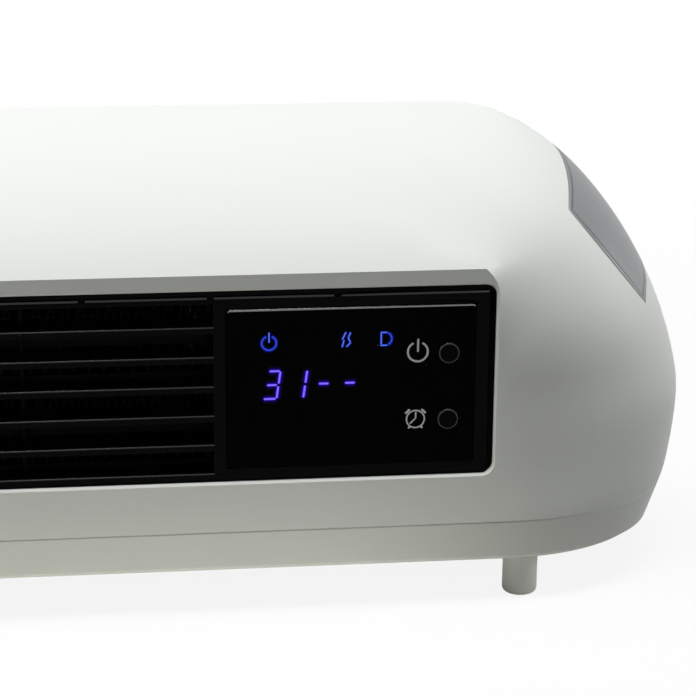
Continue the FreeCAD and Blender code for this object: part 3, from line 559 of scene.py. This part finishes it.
def softened(node, width, rim=None, keep=any_edge, clamp=True, rise=RIM_RISE):
    """A copy of a solid with rounded edges; rounds that face up past the rise get the rim finish, a painted
    highlight.
    """
    shape = bmesh.new()
    shape.from_mesh(bpy.data.objects[node].data)
    bmesh.ops.remove_doubles(shape, verts=shape.verts, dist=MERGE_DISTANCE)
    bmesh.ops.dissolve_limit(shape, angle_limit=FLAT_ANGLE, verts=shape.verts, edges=shape.edges,
                             use_dissolve_boundaries=False, delimit=set())
    sharp = [edge for edge in shape.edges if is_sharp(edge) and keep(edge)]
    rounds = bmesh.ops.bevel(shape, geom=sharp, offset=width, offset_type="OFFSET", affect="EDGES",
                             segments=ROUND_SEGMENTS, profile=0.5, material=-1, clamp_overlap=clamp)
    for face in rounds["faces"]:
        face.normal_update()
        face.material_index = 1 if rim and face.normal.z > rise else 0
    mesh = bpy.data.meshes.new(node + "_eased")
    shape.to_mesh(mesh)
    shape.free()
    mesh.shade_smooth()
    mesh.set_sharp_from_angle(angle=SHARP_ANGLE)
    mesh.materials.append(finishes[slot_of[node]])
    if rim:
        mesh.materials.append(rim)
    piece = new_object(node + "_eased", mesh)
    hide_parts(node)
    print(piece.name, "bevelled", len(sharp), "edges:", len(mesh.polygons), "faces")
    return piece


# %% [markdown]
# ### The outlet grille
# Only the long front edges of the slats and the frame catch the light, so only these are rounded. Where
# their rounds face up they get a painted highlight: a finish a shade lighter and glossier than the frame.
# The width isn't clamped, because one short edge would otherwise narrow all of them.

# %% Grille
SLAT_ROUND = 0.45 * MM
LONG_EDGE = 5.0 * MM
FACING_FRONT = -0.9
# A painted highlight: lighter and glossier than the frame, for rounds that face up.
rim_highlight = plastic("black_rim_highlight", ((0.004, 0.004, 0.0045), (0.006, 0.006, 0.0065)), (0.2, 0.34), depth=2e-6,
                     Specular_IOR_Level=0.4)


def front_line(edge):
    """True for a long edge of the front face, such as the lip of a slat."""
    return edge.calc_length() > LONG_EDGE and min(face.normal.y for face in edge.link_faces) < FACING_FRONT


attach(softened("outlet_grille", SLAT_ROUND, rim_highlight, front_line, clamp=False), "casing")

# %% [markdown]
# ### The lens
# The lens is one glossy plate whose outline shows as a bright hairline. Its rounds that face up get a
# painted highlight, a copy of the lens finish that reflects far more. The edges of its button holes lie
# in shade, so they stay as they are.

# %% Lens
LENS_ROUND = 0.3 * MM
LENS_BORDER = 6.0 * MM
lens_low, lens_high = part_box("display_lens")
# A painted highlight: the lens finish with far stronger reflection, for the upper outline.
lens_rim_highlight = plastic("lens_rim_highlight", ((0.0006, 0.0007, 0.0007), (0.001, 0.0011, 0.0012)), (0.12, 0.2), depth=1e-7,
                   Specular_IOR_Level=1.0, IOR=1.8)


def on_border(edge):
    """True for an edge of the lens's outline, not of its button holes."""
    middle = (edge.verts[0].co + edge.verts[1].co) / 2
    return min(middle.x - lens_low.x, lens_high.x - middle.x,
               middle.z - lens_low.z, lens_high.z - middle.z) < LENS_BORDER


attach(softened("display_lens", LENS_ROUND, lens_rim_highlight, on_border), "casing")

# %% [markdown]
# ### The rear grille and the buttons
# The rear slots have soft moulded edges all round. Each button's round rim gets the painted highlight of
# the slats, a finish lighter and glossier than the button, and as it catches the light on every side, that
# finish has no lower limit.

# %% Rear grille and buttons
REAR_ROUND = 0.5 * MM
BUTTON_ROUND = 0.45 * MM
ALL_ROUND = -1.0

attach(softened("rear_grille", REAR_ROUND), "casing")
for button in ("power_button", "timer_button"):
    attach(softened(button, BUTTON_ROUND, rim_highlight, rise=ALL_ROUND), button)

# %% [markdown]
# ## A softer end to the crease
# Past the corner of the panel the crease runs out into a round shoulder. More faces would be one way to
# soften it, but its shape is right already and only the shading shows faint folds. So a copy of the cover
# gets averaged normals there: every point takes the mean of its neighbours' normals, each with less say
# the more it differs. The crease over the panel turns by more than the limit, so it stays sharp.

# %% Normals, areas and the box to ease
EASE_LOW = Vector((90.0, -70.0, 125.0)) * MM
EASE_HIGH = Vector((245.0, 10.0, 190.0)) * MM


def point_normals(mesh):
    """The mean of the corner normals at each point."""
    facing = [Vector() for _ in mesh.vertices]
    for loop, normal in zip(mesh.loops, mesh.corner_normals):
        facing[loop.vertex_index] += normal.vector
    return [normal.normalized() for normal in facing]


def point_areas(mesh):
    """The area of all faces around each point."""
    areas = [0.0] * len(mesh.vertices)
    for face in mesh.polygons:
        for index in face.vertices:
            areas[index] += face.area
    return areas


def at_crease_end(vert):
    """True inside the box around either end of the crease."""
    place = (abs(vert.co.x), vert.co.y, vert.co.z)
    return all(low < value < high for low, value, high in zip(EASE_LOW, place, EASE_HIGH))


# %% Averaged normals on the cover
EASE_REACH = 9.0 * MM
EASE_LIMIT = math.cos(math.radians(34.0))
EASE_PASSES = 2


def averaged_normals(mesh):
    """Normals of all points, averaged around both ends of the crease."""
    facing = point_normals(mesh)
    areas = point_areas(mesh)
    near = KDTree(len(mesh.vertices))
    for vert in mesh.vertices:
        near.insert(vert.co, vert.index)
    near.balance()
    boxed = [vert for vert in mesh.vertices if at_crease_end(vert)]
    for _ in range(EASE_PASSES):
        eased = list(facing)
        for vert in boxed:
            total = Vector()
            for _, index, distance in near.find_range(vert.co, EASE_REACH):
                alike = max(facing[index].dot(facing[vert.index]) - EASE_LIMIT, 0.0)
                total += facing[index] * alike * areas[index] * (1.0 - distance / EASE_REACH)
            eased[vert.index] = total.normalized()
        facing = eased
    return facing


cover_mesh = bpy.data.objects["top_cover"].data.copy()
cover_mesh.name = "top_cover_eased"
cover_mesh.normals_split_custom_set_from_vertices(averaged_normals(cover_mesh))
cover_copy = new_object("top_cover_eased", cover_mesh)
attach(cover_copy, "casing")
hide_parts("top_cover")
print("cover eased:", len(cover_mesh.vertices), "points")

# %% [markdown]
# ## Drawing on the lens
# Lit and printed marks lie on the face of the lens as films thinner than paint. They could be one picture
# mapped on the lens, but strokes stay sharp at any size. A drawing is made flat, in millimetres, from
# strokes and rings, and is then stood upright on the lens.

# %% A drawing and its film
LENS_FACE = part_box("display_lens")[0].y
FILM = 0.02 * MM
INWARD = -1.0


def new_drawing():
    """An empty drawing whose points can store how brightly they glow."""
    shape = bmesh.new()
    shape.verts.layers.float.new("glow")
    return shape


def lay_on_lens(shape):
    """Stand a drawing made flat, in millimetres, upright on the face of the lens."""
    for face in shape.faces:
        face.normal_update()
        if face.normal.z < 0:
            face.normal_flip()
    upright = Matrix.Rotation(math.radians(90.0), 4, "X")
    place = Matrix.Translation((0.0, LENS_FACE, 0.0))
    bmesh.ops.transform(shape, matrix=place @ upright @ Matrix.Scale(MM, 4), verts=shape.verts)


def film_piece(name, shape, material):
    """Finish a drawing as a thin film that rides on the casing."""
    lay_on_lens(shape)
    mesh = bpy.data.meshes.new(name)
    shape.to_mesh(mesh)
    shape.free()
    mesh.materials.append(material)
    piece = new_object(name, mesh)
    film = piece.modifiers.new("film", "SOLIDIFY")
    film.thickness = FILM
    film.offset = INWARD
    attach(piece, "casing")
    print(name, len(mesh.polygons), "faces")


# %% [markdown]
# A stroke is a flat hexagon with pointed ends, as on a real segment display. Insetting its face gives
# rings of points inside it, and each ring stores its own brightness. A round mark is spun from a short
# radial line whose points store theirs. The lift keeps strokes that cross from lying in one plane.

# %% Strokes and rings
RING_STEPS = 48
FULL_TURN = 360.0


def bar(shape, start, end, width, lift, steps=(), first=1.0):
    """A flat hexagonal stroke; each step is an inset and the value stored on the ring inside it."""
    glow = shape.verts.layers.float["glow"]
    start, end = Vector(start), Vector(end)
    along = end - start
    tip = width / math.sqrt(3.0)
    made = bmesh.ops.create_circle(shape, cap_ends=True, segments=6, radius=tip,
                                   matrix=Matrix.Rotation(math.radians(90.0), 4, "Z"))["verts"]
    for vert in made:
        vert.co.x += math.copysign(max(along.length / 2 - tip, 0.0), vert.co.x)
        vert[glow] = first
    middle = (start + end) / 2
    turn = Matrix.Rotation(math.atan2(along.y, along.x), 4, "Z")
    bmesh.ops.transform(shape, matrix=Matrix.Translation((*middle, lift)) @ turn, verts=made)
    face = made[0].link_faces[0]
    for inset, value in steps:
        bmesh.ops.inset_individual(shape, faces=[face], thickness=inset, use_even_offset=True)
        for vert in face.verts:
            vert[glow] = value


def ring(shape, centre, radius, profile, lift, start=0.0, sweep=FULL_TURN):
    """Part of a flat ring, spun from a short radial line of (offset, value) points."""
    glow = shape.verts.layers.float["glow"]
    before = set(shape.verts)
    line = []
    for offset, value in profile:
        vert = shape.verts.new((radius + offset, 0.0, lift))
        vert[glow] = value
        line.append(vert)
    edges = [shape.edges.new(pair) for pair in zip(line, line[1:])]
    bmesh.ops.rotate(shape, verts=line, cent=(0, 0, 0), matrix=Matrix.Rotation(math.radians(start), 3, "Z"))
    bmesh.ops.spin(shape, geom=line + edges, cent=(0, 0, 0), axis=(0, 0, 1), dvec=(0, 0, 0),
                   angle=math.radians(sweep), steps=RING_STEPS, use_merge=sweep == FULL_TURN,
                   use_duplicate=False)
    made = [vert for vert in shape.verts if vert not in before]
    bmesh.ops.translate(shape, verts=made, vec=(*centre, 0.0))


# %% [markdown]
# ## Light behind the lens
# Behind the smoked lens a small display glows violet blue, with a bright heart and a soft skirt of stray
# light. A blur after the render would not travel with the model, so the skirt is part of the stroke: a
# colour ramp turns the stored brightness into black, a faint skirt, a strong body and a pale heart.

# %% Lit finishes
LENS_DARK = (0.0015, 0.0015, 0.002, 1.0)
LENS_GLOSS = 0.07
LENS_SPECULAR = 0.02
SKIRT_STOP = 0.3
BODY_STOP = 0.65


def glowing(name, heart, body, skirt):
    """Light from the stored value: black at 0, a faint skirt, a strong body and a pale heart at 1."""
    material, tree, shader = new_material(name)
    set_values(shader, {"Base Color": LENS_DARK, "Roughness": LENS_GLOSS,
                        "Specular IOR Level": LENS_SPECULAR, "Emission Strength": 1.0})
    stored = tree.nodes.new("ShaderNodeAttribute")
    stored.attribute_name = "glow"
    ramp = tree.nodes.new("ShaderNodeValToRGB")
    stops = ramp.color_ramp.elements
    stops[0].color = (0.0, 0.0, 0.0, 1.0)
    stops[1].color = (*heart, 1.0)
    for place, colour in ((SKIRT_STOP, skirt), (BODY_STOP, body)):
        stops.new(place).color = (*colour, 1.0)
    link(tree, stored, "Fac", ramp, "Fac")
    link(tree, ramp, "Color", shader, "Emission Color")
    return material


violet = glowing("lit_violet", (0.25, 0.17, 1.0), (0.05, 0.006, 0.75), (0.009, 0.001, 0.24))
blue = glowing("lit_blue", (0.1, 0.19, 0.95), (0.006, 0.022, 0.5), (0.001, 0.003, 0.09))
print("lit:", violet.name, blue.name)

# %% [markdown]
# ## Digits
# The temperature and two dashes are strokes of a slanted seven-segment display. A font would give closed
# letters, not segments, so each digit is a set of switched on segments, looked up by letter, and all
# segments lean by a shared slope.

# %% Lit strokes
LIFT = 0.03
LIFT_STEP = 0.002
SKIRT_RINGS = ((0.35, 0.015), (0.3, 0.06), (0.25, 0.3))
HEART_INSET = 0.3
HEART_LIFT = 0.03
EDGE_GLOW = 0.5
TIP_SHARE = 1.0 / 3.0


def lit_bar(shape, start, end, lift, stroke, skirt):
    """A skirt of faint light with the stroke itself laid over it."""
    start, end = Vector(start), Vector(end)
    along = (end - start).normalized()
    spare = along * skirt
    tip = along * stroke * TIP_SHARE
    bar(shape, start - spare, end + spare, stroke + 2 * skirt, lift,
        [(skirt * inset, value) for inset, value in SKIRT_RINGS], first=0.0)
    bar(shape, start - tip, end + tip, stroke, lift + HEART_LIFT,
        [(stroke * HEART_INSET, 1.0)], first=EDGE_GLOW)


# %% Digits
DIGIT_WIDTH = 5.1
DIGIT_HEIGHT = 11.9
DIGIT_LEAN = 0.14
DIGIT_MIDDLE = 101.6
DIGIT_STROKE = 1.15
DIGIT_SKIRT = 1.5
SEGMENTS = {
    "a": ((-0.36, 0.5), (0.44, 0.5)),
    "b": ((0.5, 0.47), (0.5, 0.06)),
    "c": ((0.5, -0.06), (0.5, -0.47)),
    "d": ((-0.5, -0.5), (0.4, -0.5)),
    "g": ((-0.4, 0.0), (0.34, 0.0)),
}
GLYPHS = {"3": "abgcd", "1": "bc", "-": "g"}
FIGURES = (("3", 86.1), ("1", 97.15), ("-", 107.5), ("-", 118.35))

digits = new_drawing()
lift = LIFT
for glyph, x in FIGURES:
    for segment in GLYPHS[glyph]:
        ends = []
        for across, rise in SEGMENTS[segment]:
            z = rise * DIGIT_HEIGHT
            ends.append((x + across * DIGIT_WIDTH + z * DIGIT_LEAN, DIGIT_MIDDLE + z))
        lit_bar(digits, *ends, lift, DIGIT_STROKE, DIGIT_SKIRT)
        lift += LIFT_STEP
film_piece("lit_digits", digits, violet)

# %% [markdown]
# ## Lit symbols
# Above the digits three small symbols are lit: the power sign, two licks of heat and a rounded sign for
# the outlet. Their rings store the same kind of skirt as the strokes do, so that both glow alike.

# %% Lit symbols
LIT_RING = ((-1.0, 0.0), (-0.5, 0.38), (-0.12, 0.78), (0.12, 0.78), (0.5, 0.38), (1.0, 0.0))
SYMBOL_STROKE = 0.75
SYMBOL_SKIRT = 0.6
POWER_CENTRE = (84.75, 119.6)
POWER_RADIUS = 3.0
POWER_ARC = {"start": 112.0, "sweep": 316.0}
POWER_STEM = ((84.75, 119.9), (84.75, 124.1))
HEAT_STROKES = (((114.9, 120.3), (116.35, 123.4)), ((114.85, 117.1), (115.6, 120.0)),
                ((117.35, 121.0), (118.3, 123.2)), ((117.3, 121.2), (118.35, 118.7)),
                ((116.7, 117.2), (118.3, 118.9)))
OUTLET_STROKES = (((131.0, 117.2), (131.0, 123.0)), ((130.8, 122.85), (133.4, 122.85)),
                  ((130.8, 117.35), (133.4, 117.35)))
OUTLET_CENTRE = (132.65, 120.1)
OUTLET_RADIUS = 2.75
OUTLET_ARC = {"start": -78.0, "sweep": 156.0}
CROSSING_LIFT = 0.04
CROSSING_STEP = 0.004

symbols = new_drawing()


def lit_strokes(strokes, lift, step):
    for index, (start, end) in enumerate(strokes):
        lit_bar(symbols, start, end, lift + index * step, SYMBOL_STROKE, SYMBOL_SKIRT)


ring(symbols, POWER_CENTRE, POWER_RADIUS, LIT_RING, LIFT, **POWER_ARC)
lit_strokes([POWER_STEM], CROSSING_LIFT, CROSSING_STEP)
lit_strokes(HEAT_STROKES, LIFT, LIFT_STEP)
lit_strokes(OUTLET_STROKES, CROSSING_LIFT, CROSSING_STEP)
ring(symbols, OUTLET_CENTRE, OUTLET_RADIUS, LIT_RING, LIFT, **OUTLET_ARC)
film_piece("lit_symbols", symbols, blue)

# %% [markdown]
# ## Printed symbols
# Beside each button a white symbol is printed on the lens: the power sign and an alarm clock with its
# bells, feet and hands. They are drawn with the same strokes and rings as the lit ones. Ink is a thin
# matt film, so it gets a rough, slightly uneven white.

# %% Ink
INK_GRAIN = 9000.0
INK_DEPTH = 2e-6
ink = plastic("white_ink", ((0.6, 0.62, 0.62), (0.72, 0.74, 0.74)), (0.45, 0.6), depth=INK_DEPTH,
              grain=INK_GRAIN)
prints = new_drawing()


def printed_ring(centre, radius, line, **arc):
    ring(prints, centre, radius, ((-line / 2, 1.0), (line / 2, 1.0)), LIFT, **arc)


def printed_bar(start, end, line):
    bar(prints, start, end, line, LIFT + LIFT_STEP)


print("ink:", ink.name)

# %% Printed power sign and clock
SIGN_LINE = 0.85
SIGN_CENTRE = (146.3, 114.1)
SIGN_RADIUS = 4.15
SIGN_ARC = {"start": 116.0, "sweep": 308.0}
SIGN_STEM = ((146.35, 114.0), (146.4, 119.8))
CLOCK_CENTRE = Vector((145.8, 84.85))
CLOCK_RADIUS = 3.75
CLOCK_LINE = 0.62
HAND_LINE = 0.65
HANDS = (((0.05, 0.2), (0.1, 3.1)), ((0.2, 0.5), (-2.3, -1.95)))
BELL = ((2.35, 4.3), (4.35, 2.45))
BELL_LINE = 0.95
FOOT = ((2.3, -3.1), (2.95, -4.1))
FOOT_LINE = 0.85


def clock_bar(ends, line, side=1.0):
    """A stroke of the clock, given from its centre; a side of -1 mirrors it."""
    start, end = (CLOCK_CENTRE + Vector((side * x, z)) for x, z in ends)
    printed_bar(start, end, line)


printed_ring(SIGN_CENTRE, SIGN_RADIUS, SIGN_LINE, **SIGN_ARC)
printed_bar(*SIGN_STEM, SIGN_LINE)
printed_ring(CLOCK_CENTRE, CLOCK_RADIUS, CLOCK_LINE)
for hand in HANDS:
    clock_bar(hand, HAND_LINE)
for side in (-1.0, 1.0):
    clock_bar(BELL, BELL_LINE, side)
    clock_bar(FOOT, FOOT_LINE, side)
film_piece("printed_symbols", prints, ink)

# %% [markdown]
# ## The blank rating plate
# A silver film is stuck over the rounded right end. A Shrinkwrap modifier could press it on, but it gives
# no hold on where the corners land. So a flat grid is made beside the casing, and every point is dropped
# onto the cover's surface: along the line to the camera at the near side, and square to the sheet from
# its middle on.

# %% Sheet on the cover
STICKER_CORNER = Vector((215.0, -30.9, 164.6))
STICKER_FOOT = Vector((250.2, -31.1, 122.6))
STICKER_HEAD = Vector((223.6, 17.9, 186.0))
STICKER_THICK = 0.12 * MM
STICKER_FAR = 90.0
STICKER_ROWS = 40
SQUARE_FROM = 0.5
SMOOTH_SHARE = 0.5

along = STICKER_FOOT - STICKER_CORNER
across = STICKER_HEAD - STICKER_CORNER
outward = along.cross(across).normalized()
to_eye = (camera.location / MM - STICKER_CORNER).normalized()
cover = bmesh.new()
cover.from_mesh(bpy.data.objects["top_cover"].data)
surface = BVHTree.FromBMesh(cover)
cover.free()

sheet = bmesh.new()
uv = sheet.loops.layers.uv.new("plate")
bmesh.ops.create_grid(sheet, x_segments=STICKER_ROWS, y_segments=STICKER_ROWS, size=0.5, calc_uvs=False)
bmesh.ops.translate(sheet, verts=sheet.verts, vec=(0.5, 0.5, 0.0))
for face in sheet.faces:
    for corner in face.loops:
        corner[uv].uv = corner.vert.co.xy
for vert in sheet.verts:
    flat = STICKER_CORNER + along * vert.co.x + across * vert.co.y
    aim = to_eye.lerp(outward, min(vert.co.y / SQUARE_FROM, 1.0)).normalized()
    point, normal = surface.ray_cast((flat + aim * STICKER_FAR) * MM, -aim)[:2]
    vert.co = point + normal * STICKER_THICK
print("sheet", round(along.length, 1), "by", round(across.length, 1), "mm")

# %% [markdown]
# The points landed on the cover's flat facets, so the inner ones are smoothed once. Solidify then gives
# the film its thickness on the inside.

# %% Sheet to film
inner = [vert for vert in sheet.verts if not vert.is_boundary]
bmesh.ops.smooth_vert(sheet, verts=inner, factor=SMOOTH_SHARE, use_axis_x=True, use_axis_y=True,
                      use_axis_z=True)
bmesh.ops.recalc_face_normals(sheet, faces=sheet.faces)
if sum(face.normal.dot(outward) for face in sheet.faces) < 0:
    bmesh.ops.reverse_faces(sheet, faces=sheet.faces)
sticker_mesh = bpy.data.meshes.new("rating_plate")
sheet.to_mesh(sticker_mesh)
sheet.free()
sticker_mesh.shade_smooth()
sticker = new_object("rating_plate", sticker_mesh)
backing = sticker.modifiers.new("film", "SOLIDIFY")
backing.thickness = STICKER_THICK
backing.offset = INWARD
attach(sticker, "casing")
print("rating plate", len(sticker_mesh.polygons), "faces")

# %% [markdown]
# The film is silver polyester with a thin ruled border. The rule has to follow the sheet round the curve,
# so it is drawn in the sheet's own UV map: it lies where the distance from the middle, along either side,
# is between two limits.

# %% Silver film
FILM_METALLIC = 0.35
FILM_ROUGHNESS = 0.42
FILM_GRAIN = 5000.0
FILM_WAVES = 1.0
FILM_DEPTH = 2e-6
SILVER = ((0.2, 0.21, 0.215), (0.27, 0.28, 0.285))
RULE_TONE = (0.1, 0.105, 0.11)
RULE_INSIDE = 0.452
RULE_OUTSIDE = 0.468


def ruled_border(tree):
    """One on the ruled border of the UV map, nought elsewhere."""
    place = tree.nodes.new("ShaderNodeUVMap")
    place.uv_map = "plate"
    split = tree.nodes.new("ShaderNodeSeparateXYZ")
    link(tree, place, "UV", split, "Vector")
    sides = []
    for axis in "XY":
        middle = math_node(tree, "SUBTRACT", (split, axis), 0.5)
        sides.append(math_node(tree, "ABSOLUTE", (middle, 0)))
    edge = math_node(tree, "MAXIMUM", (sides[0], 0), (sides[1], 0))
    within = math_node(tree, "LESS_THAN", (edge, 0), RULE_OUTSIDE)
    beyond = math_node(tree, "GREATER_THAN", (edge, 0), RULE_INSIDE)
    return math_node(tree, "MULTIPLY", (within, 0), (beyond, 0))


silver_film, tree, shader = new_material("silver_film")
set_values(shader, {"Metallic": FILM_METALLIC, "Roughness": FILM_ROUGHNESS})
grain = place_group(tree, moulded_surface, Grain_Scale=FILM_GRAIN, Wave_Share=FILM_WAVES)
silver = colour_mix(tree, grain, "Mottle", *SILVER)
colour = colour_mix(tree, ruled_border(tree), 0, silver, RULE_TONE)
link(tree, colour, "Result", shader, "Base Color")
bump(tree, grain, shader, FILM_DEPTH)
sticker_mesh.materials.append(silver_film)
print("film:", len(tree.nodes), "nodes")
